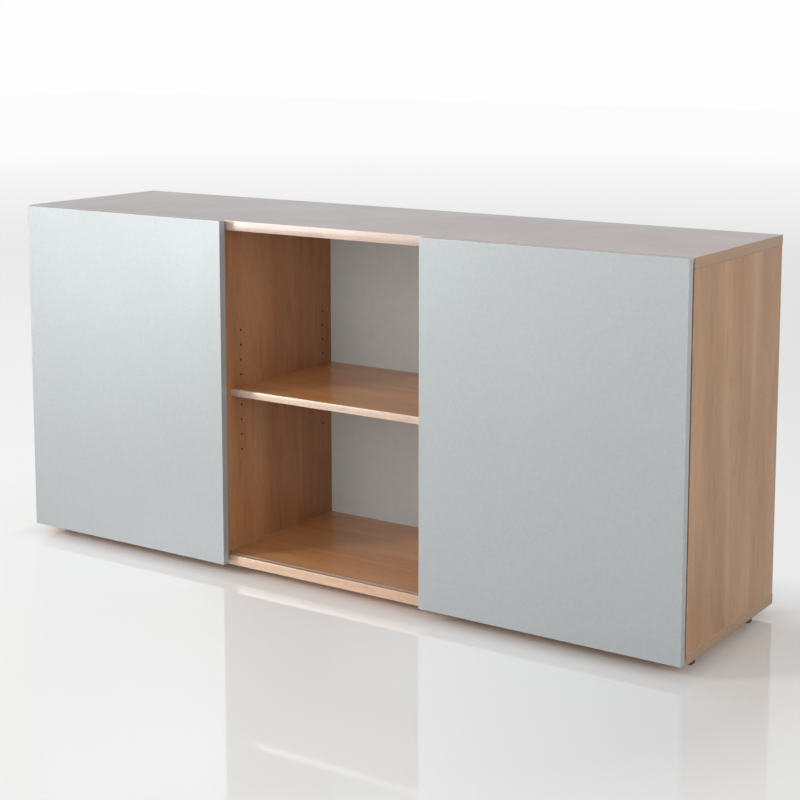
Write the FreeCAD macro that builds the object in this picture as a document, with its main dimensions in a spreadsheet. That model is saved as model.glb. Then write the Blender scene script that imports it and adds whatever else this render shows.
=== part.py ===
import FreeCAD, Part
import os
import re
import Sketcher

# Office credenza: three bays between two dividers, two flat sliding doors that hang in one
# plane in front of the carcass, and an open middle bay with a shelf.
# Frame: origin on the floor, midway along the width and the depth. X is the width, +Y the back, +Z up.

doc = FreeCAD.newDocument("credenza")

# ---------------------------------------------------------------- driving dimensions (mm)
sizes = {
    # carcass
    "carcass_width": 1600.0,
    "carcass_depth": 400.0,
    "carcass_height": 727.0,
    "top_thick": 21.0,
    "bottom_thick": 21.0,
    "side_thick": 19.0,
    "side_inset": 0.6,
    "divider_thick": 19.0,
    "back_thick": 16.0,
    "opening_width": 510.0,
    "divider_setback": 16.0,
    "band_thick": 2.0,
    "band_round": 1.6,
    # shelves, and the rows of holes that they hang in
    "shelf_thick": 16.0,
    "shelf_setback": 14.0,
    "shelf_play": 0.3,
    "shelf_level": 360.5,
    "hole_pitch": 32.0,
    "hole_reach": 130.0,
    "hole_radius": 2.5,
    "hole_depth": 11.0,
    "hole_inset": 48.0,
    "rear_hole_inset": 30.0,
    "pin_in_upright": 9.0,
    "pin_in_shelf": 13.0,
    # doors
    "door_overhang": 4.5,
    "door_thick": 16.0,
    "door_gap": 8.0,
    "door_lift": 5.0,
    "door_band": 1.0,
    "door_round": 0.8,
    "left_door_open": 15.0,
    "right_door_open": 0.0,
    # tracks let into the bottom and the top board
    "track_inset": 11.0,
    "track_channel": 5.0,
    "track_wall": 1.0,
    "track_depth": 8.0,
    "track_floor": 1.5,
    "track_lip": 1.0,
    "track_lip_thick": 1.0,
    "track_end_gap": 0.2,
    # running gear
    "roller_radius": 14.0,
    "roller_width": 4.0,
    "roller_lift": 0.2,
    "hub_radius": 6.0,
    "web_recess": 1.0,
    "roller_tyre": 3.0,
    "axle_radius": 2.5,
    "axle_play": 0.05,
    "axle_head": 0.6,
    "axle_head_radius": 3.6,
    "bracket_thick": 1.5,
    "bend_radius": 1.0,
    "cheek_gap": 0.5,
    "cheek_clear": 2.0,
    "ear_width": 26.0,
    "arm_clear": 1.3,
    "bracket_width": 50.0,
    "plate_height": 42.0,
    "gear_inset": 60.0,
    "guide_width": 36.0,
    "guide_clear": 6.0,
    "guide_plate": 44.0,
    "guide_pin_radius": 2.1,
    "guide_pin_shank": 1.6,
    "guide_pin_head": 4.0,
    "guide_pin_head_thick": 1.8,
    "guide_pin_reach": 5.0,
    "stop_gap": 0.3,
    "stop_height": 8.0,
    # feet
    "foot_height": 20.0,
    "foot_radius": 19.0,
    "foot_rim": 8.0,
    "foot_neck": 9.0,
    "foot_seat_gap": 0.3,
    "foot_end_inset": 34.0,
    "foot_edge_inset": 69.0,
    "stem_radius": 5.0,
    "stem_play": 0.05,
    "stem_length": 14.0,
    "bore_depth": 16.0,
}

sheet = doc.addObject("Spreadsheet::Sheet", "Sizes")
for row, (alias, value) in enumerate(sizes.items(), start=1):
    sheet.set("A%d" % row, alias)
    sheet.set("B%d" % row, str(value))
    sheet.setAlias("B%d" % row, alias)
doc.recompute()

# places that several pieces share, as expressions in the sheet's own names
half_width = "carcass_width/2"
front = "((door_gap + door_thick - carcass_depth)/2)"
rear = "((door_gap + door_thick + carcass_depth)/2)"
door_back = "(%s - door_gap)" % front
track_line = "(%s + track_inset)" % front
divider_front = "(%s + divider_setback)" % front
back_face = "(%s - back_thick)" % rear
floor_level = "(foot_height + bottom_thick)"
ceiling_level = "(foot_height + carcass_height - top_thick)"
inner_height = "(carcass_height - top_thick - bottom_thick)"
side_face = "(carcass_width/2 - side_inset - side_thick)"
divider_face = "(opening_width/2)"
shelf_middle = "(foot_height + shelf_level)"
rows_each_way = "floor(hole_reach/hole_pitch)"
first_row = "(%s - %s*hole_pitch)" % (shelf_middle, rows_each_way)
front_column = "(%s + hole_inset)" % divider_front
column_pitches = "floor((%s - rear_hole_inset - %s)/hole_pitch)" % (back_face, front_column)
rear_column = "(%s + %s*hole_pitch)" % (front_column, column_pitches)
door_width = "(%s - opening_width/2 + door_overhang)" % half_width
door_height = "(carcass_height - door_lift)"
track_width = "(track_channel + 2*track_wall)"
track_flange = "(track_channel + 2*track_wall + 2*track_lip)"
axle_rise = "(track_floor - track_depth + roller_lift + roller_radius)"


def named(text):
    """The expression with each size written as the sheet's cell."""
    return re.sub(r"[a-z_]+", lambda m: "Sizes." + m.group(0) if m.group(0) in sizes else m.group(0), text)


def bind(obj, prop, text):
    obj.setExpression(prop, named(text))


def place(obj, x, y, z):
    for axis, text in zip("xyz", (x, y, z)):
        bind(obj, "Placement.Base." + axis, text)
    return obj


def box(name, low, size):
    """A plain board from its least corner."""
    obj = doc.addObject("Part::Box", name)
    for prop, text in zip(("Length", "Width", "Height"), size):
        bind(obj, prop, text)
    return place(obj, *low)


turns = {
    "x": FreeCAD.Rotation(FreeCAD.Vector(0, 1, 0), 90),
    "-x": FreeCAD.Rotation(FreeCAD.Vector(0, 1, 0), -90),
    "y": FreeCAD.Rotation(FreeCAD.Vector(1, 0, 0), -90),
    "-y": FreeCAD.Rotation(FreeCAD.Vector(1, 0, 0), 90),
    "z": FreeCAD.Rotation(),
    "-z": FreeCAD.Rotation(FreeCAD.Vector(1, 0, 0), 180),
}


def turned(obj, way):
    """Turn an object made along +Z so that it points the given way."""
    obj.Placement = FreeCAD.Placement(FreeCAD.Vector(), turns[way])
    return obj


def cylinder(name, way, start, radius, length):
    obj = turned(doc.addObject("Part::Cylinder", name), way)
    bind(obj, "Radius", radius)
    bind(obj, "Height", length)
    return place(obj, *start)


def group(name, members):
    """Several separate solids that make one sub-part or one cutting tool."""
    obj = doc.addObject("Part::Compound", name)
    obj.Links = members
    return obj


def fuse(name, members):
    obj = doc.addObject("Part::MultiFuse", name)
    obj.Shapes = members
    return obj


def cut(name, base, tools):
    obj = doc.addObject("Part::Cut", name)
    obj.Base = base
    obj.Tool = tools[0] if len(tools) == 1 else group(name + "_tools", tools)
    return obj


def along(edge, axis):
    a, b = (v.Point for v in edge.Vertexes)
    return abs((b - a)[axis]) > 0.999 * edge.Length


def at(edge, axis, value=0.0):
    return all(abs(v.Point[axis] - value) < 1e-4 for v in edge.Vertexes)


# ---------------------------------------------------------------- sketched bodies
def number(text):
    """What an expression of sizes comes to, worked out by the sheet."""
    sheet.set("D1", "=" + text)
    sheet.recompute()
    value = float(sheet.get("D1"))
    sheet.clear("D1")
    return value


def new_body(name):
    return doc.addObject("PartDesign::Body", name)


def new_sketch(body, role, name, level="0"):
    """An empty sketch on one of the body's own origin planes, or level away from it."""
    sk = body.newObject("Sketcher::SketchObject", name)
    plane = next(f for f in body.Origin.OriginFeatures if f.Role == role)
    sk.AttachmentSupport = [(plane, "")]
    sk.MapMode = "FlatFace"
    if level != "0":
        bind(sk, "AttachmentOffset.Base.z", level)
    return sk


def dimension(sk, geometry, vertex, spot):
    """Hold a point of the sketch at its two distances from the origin."""
    for kind, text in zip(("DistanceX", "DistanceY"), spot):
        index = sk.addConstraint(Sketcher.Constraint(kind, -1, 1, geometry, vertex, number(text)))
        bind(sk, "Constraints[%d]" % index, text)


def outline(sk, points):
    """A closed straight-sided profile."""
    spots = [FreeCAD.Vector(number(x), number(y), 0) for x, y in points]
    for a, b in zip(spots, spots[1:] + spots[:1]):
        sk.addGeometry(Part.LineSegment(a, b), False)
    for i in range(len(points)):
        sk.addConstraint(Sketcher.Constraint("Coincident", i, 2, (i + 1) % len(points), 1))
    for i, point in enumerate(points):
        dimension(sk, i, 1, point)
    return sk


def circles(sk, centres, radius):
    for i, centre in enumerate(centres):
        spot = FreeCAD.Vector(number(centre[0]), number(centre[1]), 0)
        sk.addGeometry(Part.Circle(spot, FreeCAD.Vector(0, 0, 1), number(radius)), False)
        dimension(sk, i, 3, centre)
        index = sk.addConstraint(Sketcher.Constraint("Radius", i, number(radius)))
        bind(sk, "Constraints[%d]" % index, radius)
    return sk


def pad(body, sk, length, name):
    feature = body.newObject("PartDesign::Pad", name)
    feature.Profile = sk
    bind(feature, "Length", length)
    return feature


def pocket(body, sk, depth, name, forwards):
    """Cut along the sketch's normal when forwards, else against it; depth None goes right through."""
    feature = body.newObject("PartDesign::Pocket", name)
    feature.Profile = sk
    feature.Reversed = forwards
    if depth is None:
        feature.Type = "ThroughAll"
    else:
        bind(feature, "Length", depth)
    return feature


def rounding(body, base, radius, wanted, name):
    """Round those edges of the body's last feature that the test picks."""
    doc.recompute()
    feature = body.newObject("PartDesign::Fillet", name)
    picked = [i for i, edge in enumerate(base.Shape.Edges, start=1) if wanted(edge)]
    feature.Base = (base, ["Edge%d" % i for i in picked])
    bind(feature, "Radius", radius)
    return feature


def rounded_board(name, low, size, radius, wanted):
    """A board from its least corner; the test sees its edges as they lie from that corner."""
    body = new_body(name)
    block = body.newObject("PartDesign::AdditiveBox", name + "_block")
    for prop, text in zip(("Length", "Width", "Height"), size):
        bind(block, prop, text)
    rounding(body, block, radius, wanted, name + "_round")
    return place(body, *low)


def revolved(name, points, way):
    """A turned piece from its half section of (radius, height) corners."""
    body = new_body(name)
    sk = outline(new_sketch(body, "XZ_Plane", name + "_section"), points)
    feature = body.newObject("PartDesign::Revolution", name + "_turning")
    feature.Profile = sk
    feature.ReferenceAxis = (sk, ["V_Axis"])
    feature.Angle = 360.0
    return turned(body, way)


def drilled_board(name, low, thick, depth, rows):
    """An upright board with two columns of shelf holes.

    rows is "low" or "high" for blind holes in that face, or "through".
    """
    body = new_body(name)
    face = [("0", "0"), (depth, "0"), (depth, inner_height), ("0", inner_height)]
    pad(body, outline(new_sketch(body, "YZ_Plane", name + "_face"), face), thick, name + "_board")
    spots = [("%s - (%s)" % (y, low[1]), "%s - %s" % (first_row, floor_level)) for y in shelf_columns]
    level = thick if rows == "high" else "0"
    sk = circles(new_sketch(body, "YZ_Plane", name + "_row", level), spots, "hole_radius")
    depth_of_hole = None if rows == "through" else "hole_depth"
    first = pocket(body, sk, depth_of_hole, name + "_first_row", rows != "high")
    pattern = body.newObject("PartDesign::LinearPattern", name + "_rows")
    pattern.Originals = [first]
    pattern.Direction = (sk, ["V_Axis"])
    bind(pattern, "Length", "2*%s*hole_pitch" % rows_each_way)
    bind(pattern, "Occurrences", "2*%s + 1" % rows_each_way)
    body.Tip = pattern
    return place(body, *low)


shelf_columns = (front_column, rear_column)
divider_middle = "(%s + divider_thick/2)" % divider_face

# ---------------------------------------------------------------- carcass
parts = []


def edged_board(name, level, thick, cutters):
    """A long board with edging on all four edges, its outer arrises rounded."""
    core = box(
        name + "_core",
        ("-(%s - band_thick)" % half_width, front + " + band_thick", level),
        ("carcass_width - 2*band_thick", "carcass_depth - 2*band_thick", thick),
    )
    soft = rounded_board(
        name + "_soft",
        ("-" + half_width, front, level),
        ("carcass_width", "carcass_depth", thick),
        "band_round",
        lambda edge: not along(edge, 2),
    )
    parts.append(cut(name + "_panel", core, cutters))
    parts.append(cut(name + "_edging", soft, [core]))


def track_recess(name, channel_level, lip_level):
    """The groove for a track, with the shallow rebate that its lips lie in."""
    wide = "2*" + side_face
    channel = box(
        name + "_channel_cut",
        ("-" + side_face, "%s - %s/2" % (track_line, track_width), channel_level),
        (wide, track_width, "track_depth"),
    )
    lips = box(
        name + "_lip_cut",
        ("-" + side_face, "%s - %s/2" % (track_line, track_flange), lip_level),
        (wide, track_flange, "track_lip_thick"),
    )
    return [channel, lips]


foot_spots = {}
for depth_name, y in (("front", front + " + foot_edge_inset"), ("rear", rear + " - foot_edge_inset")):
    foot_spots["foot_%s_left" % depth_name] = ("-(%s - foot_end_inset)" % half_width, y)
    foot_spots["foot_%s_middle_left" % depth_name] = ("-" + divider_middle, y)
    foot_spots["foot_%s_middle_right" % depth_name] = (divider_middle, y)
    foot_spots["foot_%s_right" % depth_name] = ("(%s - foot_end_inset)" % half_width, y)

foot_bores = [
    cylinder(name + "_bore", "z", (x, y, "foot_height"), "stem_radius + stem_play", "bore_depth")
    for name, (x, y) in foot_spots.items()
]
edged_board(
    "bottom",
    "foot_height",
    "bottom_thick",
    track_recess("bottom", floor_level + " - track_depth", floor_level + " - track_lip_thick") + foot_bores,
)
edged_board("top", ceiling_level, "top_thick", track_recess("top", ceiling_level, ceiling_level))

side_low = {"left_side": "-(%s + side_thick)" % side_face, "right_side": side_face}
for name, x in side_low.items():
    low = (x, front + " + band_thick", floor_level)
    parts.append(
        drilled_board(
            name + "_panel",
            low,
            "side_thick",
            "(carcass_depth - band_thick - side_inset)",
            "high" if name == "left_side" else "low",
        )
    )
divider_low = {"left_divider": "-(%s + divider_thick)" % divider_face, "right_divider": divider_face}
for name, x in divider_low.items():
    low = (x, divider_front + " + band_thick", floor_level)
    parts.append(
        drilled_board(
            name + "_panel",
            low,
            "divider_thick",
            "(carcass_depth - back_thick - divider_setback - band_thick)",
            "through",
        )
    )


def upright_band(name, x, y, thick):
    return rounded_board(
        name,
        (x, y, floor_level),
        (thick, "band_thick", inner_height),
        "band_round",
        lambda edge: along(edge, 2) and at(edge, 1),
    )


parts.append(
    group("side_edging", [upright_band(n + "_band", x, front, "side_thick") for n, x in side_low.items()])
)
parts.append(
    group(
        "divider_edging",
        [upright_band(n + "_band", x, divider_front, "divider_thick") for n, x in divider_low.items()],
    )
)
back_low = ("-" + side_face, back_face, floor_level)
parts.append(box("back_panel", back_low, ("2*" + side_face, "back_thick", inner_height)))

# ---------------------------------------------------------------- shelves on pins let into their ends
bays = {
    "left_shelf": ("-" + side_face, "-(%s + divider_thick)" % divider_face),
    "middle_shelf": ("-" + divider_face, divider_face),
    "right_shelf": ("(%s + divider_thick)" % divider_face, side_face),
}
shelf_front = "(%s + shelf_setback)" % divider_front
shelf_bottom = "(%s - shelf_thick/2)" % shelf_middle
pins, shelf_bands = [], []
for name, (low_x, high_x) in bays.items():
    bay_pins = []
    for i, y in enumerate(shelf_columns):
        for end, start in (("low", "%s - pin_in_upright" % low_x), ("high", "%s - pin_in_shelf" % high_x)):
            tag = "%s_%s_pin%d" % (name, end, i)
            spot = (start, y, shelf_middle)
            bay_pins.append(cylinder(tag, "x", spot, "hole_radius", "pin_in_upright + pin_in_shelf"))
    pins += bay_pins
    board = box(
        name + "_board",
        (low_x + " + shelf_play", shelf_front + " + band_thick", shelf_bottom),
        (
            "%s - (%s) - 2*shelf_play" % (high_x, low_x),
            "%s - %s - band_thick - shelf_play" % (back_face, shelf_front),
            "shelf_thick",
        ),
    )
    parts.append(cut(name, board, bay_pins))
    shelf_bands.append(
        rounded_board(
            name + "_band",
            (low_x + " + shelf_play", shelf_front, shelf_bottom),
            ("%s - (%s) - 2*shelf_play" % (high_x, low_x), "band_thick", "shelf_thick"),
            "band_round",
            lambda edge: along(edge, 0) and at(edge, 1),
        )
    )
parts.append(group("shelf_edging", shelf_bands))
parts.append(group("shelf_pins", pins))

# ---------------------------------------------------------------- tracks
far_wall = "(track_lip + track_wall + track_channel)"
lip_low = "(track_depth - track_lip_thick)"
track_section = [
    ("0", lip_low),
    ("track_lip", lip_low),
    ("track_lip", "0"),
    ("track_lip + " + track_width, "0"),
    ("track_lip + " + track_width, lip_low),
    (track_flange, lip_low),
    (track_flange, "track_depth"),
    (far_wall, "track_depth"),
    (far_wall, "track_floor"),
    ("track_lip + track_wall", "track_floor"),
    ("track_lip + track_wall", "track_depth"),
    ("0", "track_depth"),
]
track_start = "-(%s - track_end_gap)" % side_face
for name, way, edge, level in (
    ("bottom_track", "z", "%s - %s/2" % (track_line, track_flange), floor_level + " - track_depth"),
    ("top_track", "-z", "%s + %s/2" % (track_line, track_flange), ceiling_level + " + track_depth"),
):
    body = new_body(name)
    sk = outline(new_sketch(body, "YZ_Plane", name + "_section"), track_section)
    pad(body, sk, "2*%s - 2*track_end_gap" % side_face, name + "_length")
    parts.append(place(turned(body, way), track_start, edge, level))

stop_face = "(%s - gear_inset + roller_radius + stop_gap)" % half_width
stops = []
for name, x in (("left", "-" + side_face), ("right", stop_face)):
    stops.append(
        box(
            name + "_stop",
            (x, track_line + " - roller_width/2", floor_level + " - track_depth + track_floor"),
            ("%s - %s" % (side_face, stop_face), "roller_width", "track_depth - track_floor + stop_height"),
        )
    )
parts.append(group("track_stops", stops))

# ---------------------------------------------------------------- sliding doors and their running gear
track_reach = "(door_gap + track_inset)"
arm_under = "(%s + roller_radius + arm_clear)" % axle_rise
front_cheek = "(%s - roller_width/2 - cheek_gap)" % track_reach
rear_cheek = "(%s + roller_width/2 + cheek_gap)" % track_reach
tongue_level = "(%s - guide_clear)" % ceiling_level
carriage_section = [
    ("0", arm_under),
    (front_cheek + " - bracket_thick", arm_under),
    (front_cheek + " - bracket_thick", "cheek_clear"),
    (front_cheek, "cheek_clear"),
    (front_cheek, arm_under),
    (rear_cheek, arm_under),
    (rear_cheek, "cheek_clear"),
    (rear_cheek + " + bracket_thick", "cheek_clear"),
    (rear_cheek + " + bracket_thick", arm_under + " + bracket_thick"),
    ("bracket_thick", arm_under + " + bracket_thick"),
    ("bracket_thick", arm_under + " + plate_height"),
    ("0", arm_under + " + plate_height"),
]
carriage_bends = {
    "inside": [("bracket_thick", arm_under + " + bracket_thick"), (rear_cheek, arm_under)],
    "outside": [("0", arm_under), (rear_cheek + " + bracket_thick", arm_under + " + bracket_thick")],
}
guide_section = [
    ("0", "0"),
    ("bracket_thick", "0"),
    ("bracket_thick", "guide_plate - bracket_thick"),
    (track_reach + " + guide_pin_head", "guide_plate - bracket_thick"),
    (track_reach + " + guide_pin_head", "guide_plate"),
    ("0", "guide_plate"),
]
guide_bends = {
    "inside": [("bracket_thick", "guide_plate - bracket_thick")],
    "outside": [("0", "guide_plate")],
}
roller_section = [
    ("axle_radius + axle_play", "0"),
    ("hub_radius", "0"),
    ("hub_radius", "web_recess"),
    ("roller_radius - roller_tyre", "web_recess"),
    ("roller_radius - roller_tyre", "0"),
    ("roller_radius", "0"),
    ("roller_radius", "roller_width"),
    ("roller_radius - roller_tyre", "roller_width"),
    ("roller_radius - roller_tyre", "roller_width - web_recess"),
    ("hub_radius", "roller_width - web_recess"),
    ("hub_radius", "roller_width"),
    ("axle_radius + axle_play", "roller_width"),
]


def bent_bracket(tag, section, bends, x, width, level, holes):
    """A folded bracket: its side profile padded across the width, bent, then drilled and trimmed.

    bends holds the (y, z) corners on the inside and on the outside of the folds.
    """
    body = new_body(tag + "_sheet")
    sk = outline(new_sketch(body, "YZ_Plane", tag + "_profile"), section)
    last = pad(body, sk, width, tag + "_fold")
    for side, radius in (("inside", "bend_radius"), ("outside", "bend_radius + bracket_thick")):
        corners = [(number(y), number(z)) for y, z in bends[side]]
        last = rounding(
            body,
            last,
            radius,
            lambda edge: any(at(edge, 1, y) and at(edge, 2, z) for y, z in corners),
            "%s_%s_bend" % (tag, side),
        )
    place(body, "%s - %s/2" % (x, width), door_back, level)
    return cut(tag, body, holes)


def sliding_door(name, x0):
    door_low = ("%s + door_band" % x0, "%s - door_thick" % door_back, "foot_height + door_lift + door_band")
    core_size = (door_width + " - 2*door_band", "door_thick", door_height + " - 2*door_band")
    panel = box(name + "_panel", door_low, core_size)
    soft = rounded_board(
        name + "_soft",
        (x0, door_low[1], "foot_height + door_lift"),
        (door_width, "door_thick", door_height),
        "door_round",
        lambda edge: at(edge, 1),
    )
    carriages, guides, pins, axles = [], [], [], []
    for place_name, x in (
        ("left", "(%s + gear_inset)" % x0),
        ("right", "(%s + %s - gear_inset)" % (x0, door_width)),
    ):
        tag = "%s_%s" % (name, place_name)
        # bottom carriage
        axle_level = "%s + %s" % (floor_level, axle_rise)
        pin_start = (x, "%s + %s - bracket_thick" % (door_back, front_cheek), axle_level)
        pin_end = (x, "%s + %s + bracket_thick" % (door_back, rear_cheek), axle_level)
        pin = cylinder(
            tag + "_axle_pin",
            "y",
            pin_start,
            "axle_radius",
            "roller_width + 2*cheek_gap + 2*bracket_thick",
        )
        heads = [
            cylinder(tag + "_axle_front", "-y", pin_start, "axle_head_radius", "axle_head"),
            cylinder(tag + "_axle_rear", "y", pin_end, "axle_head_radius", "axle_head"),
        ]
        axles.append(fuse(tag + "_axle", [pin] + heads))
        ear_trim = [
            box(
                "%s_trim_%s" % (tag, side),
                (edge, door_back + " + bracket_thick", floor_level),
                ("(bracket_width - ear_width)/2", "%s + bracket_thick" % rear_cheek, arm_under),
            )
            for side, edge in (("low", x + " - bracket_width/2"), ("high", x + " + ear_width/2"))
        ]
        carriages.append(
            bent_bracket(
                tag + "_carriage",
                carriage_section,
                carriage_bends,
                x,
                "bracket_width",
                floor_level,
                ear_trim + [pin],
            )
        )
        roller = revolved(tag + "_roller", roller_section, "y")
        parts.append(place(roller, x, track_line + " - roller_width/2", axle_level))
        # top guide
        pin_base = (x, track_line, tongue_level + " - bracket_thick")
        shank = cylinder(tag + "_pin_shank", "z", pin_base, "guide_pin_shank", "bracket_thick")
        foot = cylinder(tag + "_pin_foot", "-z", pin_base, "guide_pin_head", "guide_pin_head_thick")
        nose_start = (x, track_line, tongue_level)
        nose_length = "guide_clear + guide_pin_reach"
        nose = cylinder(tag + "_pin_nose", "z", nose_start, "guide_pin_radius", nose_length)
        pins.append(fuse(tag + "_pin", [shank, foot, nose]))
        guides.append(
            bent_bracket(
                tag + "_guide",
                guide_section,
                guide_bends,
                x,
                "guide_width",
                tongue_level + " - guide_plate",
                [shank],
            )
        )
    parts.append(panel)
    parts.append(cut(name + "_edging", soft, [panel]))
    parts.append(group(name + "_carriages", carriages))
    parts.append(group(name + "_guides", guides))
    parts.append(group(name + "_guide_pins", pins))
    parts.append(group(name + "_axles", axles))


sliding_door("left_door", "(left_door_open - %s)" % half_width)
sliding_door("right_door", "(%s - %s - right_door_open)" % (half_width, door_width))

# ---------------------------------------------------------------- levelling feet
for name, (x, y) in foot_spots.items():
    rim = cylinder(name + "_rim", "z", (x, y, "0"), "foot_radius", "foot_rim")
    nut = doc.addObject("Part::Prism", name + "_nut")
    nut.Polygon = 6
    bind(nut, "Circumradius", "foot_neck")
    bind(nut, "Height", "foot_height - foot_seat_gap - foot_rim")
    place(nut, x, y, "foot_rim")
    stem_start = (x, y, "foot_height - foot_seat_gap")
    stem = cylinder(name + "_stem", "z", stem_start, "stem_radius", "stem_length")
    parts.append(fuse(name, [rim, nut, stem]))

# ---------------------------------------------------------------- check and write
doc.recompute()
for obj in doc.Objects:
    if {"Invalid", "Error"} & set(obj.State):
        raise SystemExit("failed: %s %s" % (obj.Name, obj.State))
os.makedirs("parts", exist_ok=True)
for obj in parts:
    shape = obj.Shape
    if shape.isNull() or not shape.isValid() or not shape.Solids:
        raise SystemExit("bad shape: " + obj.Label)
    shape.exportStep("parts/%s.step" % obj.Label)
    print("%-28s solids %2d  volume %.1f cm3" % (obj.Label, len(shape.Solids), shape.Volume / 1000))
print("sub-parts:", len(parts))
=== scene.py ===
import math
import bpy
from mathutils import Matrix, Vector


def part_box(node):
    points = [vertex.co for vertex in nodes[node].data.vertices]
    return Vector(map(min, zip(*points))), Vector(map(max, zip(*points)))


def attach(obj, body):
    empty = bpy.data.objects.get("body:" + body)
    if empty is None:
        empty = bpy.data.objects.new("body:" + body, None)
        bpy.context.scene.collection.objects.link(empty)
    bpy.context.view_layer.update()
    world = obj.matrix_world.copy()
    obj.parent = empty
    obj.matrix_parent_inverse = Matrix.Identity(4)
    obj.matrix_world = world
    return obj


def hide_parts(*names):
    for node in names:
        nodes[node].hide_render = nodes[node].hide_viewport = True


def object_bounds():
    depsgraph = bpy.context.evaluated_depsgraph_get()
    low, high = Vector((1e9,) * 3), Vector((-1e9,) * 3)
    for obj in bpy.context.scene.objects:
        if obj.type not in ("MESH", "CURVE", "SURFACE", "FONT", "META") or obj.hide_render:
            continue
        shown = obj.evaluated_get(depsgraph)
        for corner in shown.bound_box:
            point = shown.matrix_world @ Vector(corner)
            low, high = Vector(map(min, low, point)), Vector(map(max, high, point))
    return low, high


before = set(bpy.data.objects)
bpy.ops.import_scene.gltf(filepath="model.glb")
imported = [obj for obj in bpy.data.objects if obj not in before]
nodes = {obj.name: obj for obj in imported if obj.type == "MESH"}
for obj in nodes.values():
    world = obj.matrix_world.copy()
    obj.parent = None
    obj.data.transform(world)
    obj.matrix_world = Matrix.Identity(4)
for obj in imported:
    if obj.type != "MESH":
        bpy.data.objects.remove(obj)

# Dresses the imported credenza: the camera, wood and silver finishes for the boards, plain ones for
# the hardware, the moulded feet and rollers and the screws, and then the floor and the lamps.

cadBox = [list(corner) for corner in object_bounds()]
scene = bpy.context.scene
print("frame loaded:", len(nodes), "nodes")

# camera
camera = {
    "place": (1.9953, -2.8625, 1.1331),
    "turn": 33.993,  # degrees to the left of straight ahead
    "tilt": 7.431,  # degrees below level
    "lens": 76.735,
    "shift": -0.185,  # lowers the frame, so that the uprights stay nearly upright
}


def makeCamera(view):
    data = bpy.data.cameras.new("viewCamera")
    data.lens = view["lens"]
    data.sensor_width = 36.0
    data.shift_y = view["shift"]
    data.clip_start = 0.05
    data.clip_end = 80.0
    obj = bpy.data.objects.new("viewCamera", data)
    obj.location = view["place"]
    obj.rotation_euler = (math.radians(90 - view["tilt"]), 0, math.radians(view["turn"]))
    scene.collection.objects.link(obj)
    scene.camera = obj


makeCamera(camera)
scene.view_settings.view_transform = "Standard"
print("camera placed")


# shader helpers
def addNode(tree, kind, at=(0, 0), values=None, **settings):
    node = tree.nodes.new(kind)
    node.location = at
    for key, value in settings.items():
        setattr(node, key, value)
    for key, value in (values or {}).items():
        node.inputs[key].default_value = value
    return node


def connect(tree, *pairs):
    for source, target in pairs:
        tree.links.new(source, target)


def newGroup(name, inputs, outputs):
    group = bpy.data.node_groups.new(name, "ShaderNodeTree")
    for label, kind, value in inputs:
        socket = group.interface.new_socket(label, in_out="INPUT", socket_type="NodeSocket" + kind)
        socket.default_value = value
    for label, kind in outputs:
        group.interface.new_socket(label, in_out="OUTPUT", socket_type="NodeSocket" + kind)
    return group, addNode(group, "NodeGroupInput", (-900, 0)), addNode(group, "NodeGroupOutput", (900, 0))


def useGroup(tree, group, at, values=None):
    return addNode(tree, "ShaderNodeGroup", at, values, node_tree=group)


def maths(tree, what, a, b, at=(0, 0), clamp=False):
    node = addNode(tree, "ShaderNodeMath", at, operation=what, use_clamp=clamp)
    for socket, value in zip(node.inputs, (a, b)):
        if isinstance(value, (int, float)):
            socket.default_value = value
        else:
            tree.links.new(value, socket)
    return node.outputs[0]


def ramp(tree, value, stops, at=(0, 0)):
    node = addNode(tree, "ShaderNodeValToRGB", at)
    band = node.color_ramp
    while len(band.elements) < len(stops):
        band.elements.new(0.5)
    for element, (place, colour) in zip(band.elements, stops):
        element.position = place
        element.color = (*colour, 1) if isinstance(colour, tuple) else (colour, colour, colour, 1)
    tree.links.new(value, node.inputs[0])
    return node.outputs[0]


def spread(tree, value, low, high, newLow, newHigh, at=(0, 0)):
    node = addNode(tree, "ShaderNodeMapRange", at)
    for index, limit in enumerate((low, high, newLow, newHigh), start=1):
        node.inputs[index].default_value = limit
    tree.links.new(value, node.inputs[0])
    return node.outputs[0]


def scaled(colour, factor):
    return tuple(min(1.0, part * factor) for part in colour)


def mixColours(tree, factor, a, b, at=(0, 0), blend="MIX"):
    node = addNode(tree, "ShaderNodeMix", at, data_type="RGBA", blend_type=blend)
    for socket, value in ((node.inputs[0], factor), (node.inputs[6], a), (node.inputs[7], b)):
        if isinstance(value, tuple):
            socket.default_value = (*value, 1)
        elif isinstance(value, (int, float)):
            socket.default_value = value
        else:
            tree.links.new(value, socket)
    return node.outputs[2]


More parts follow.
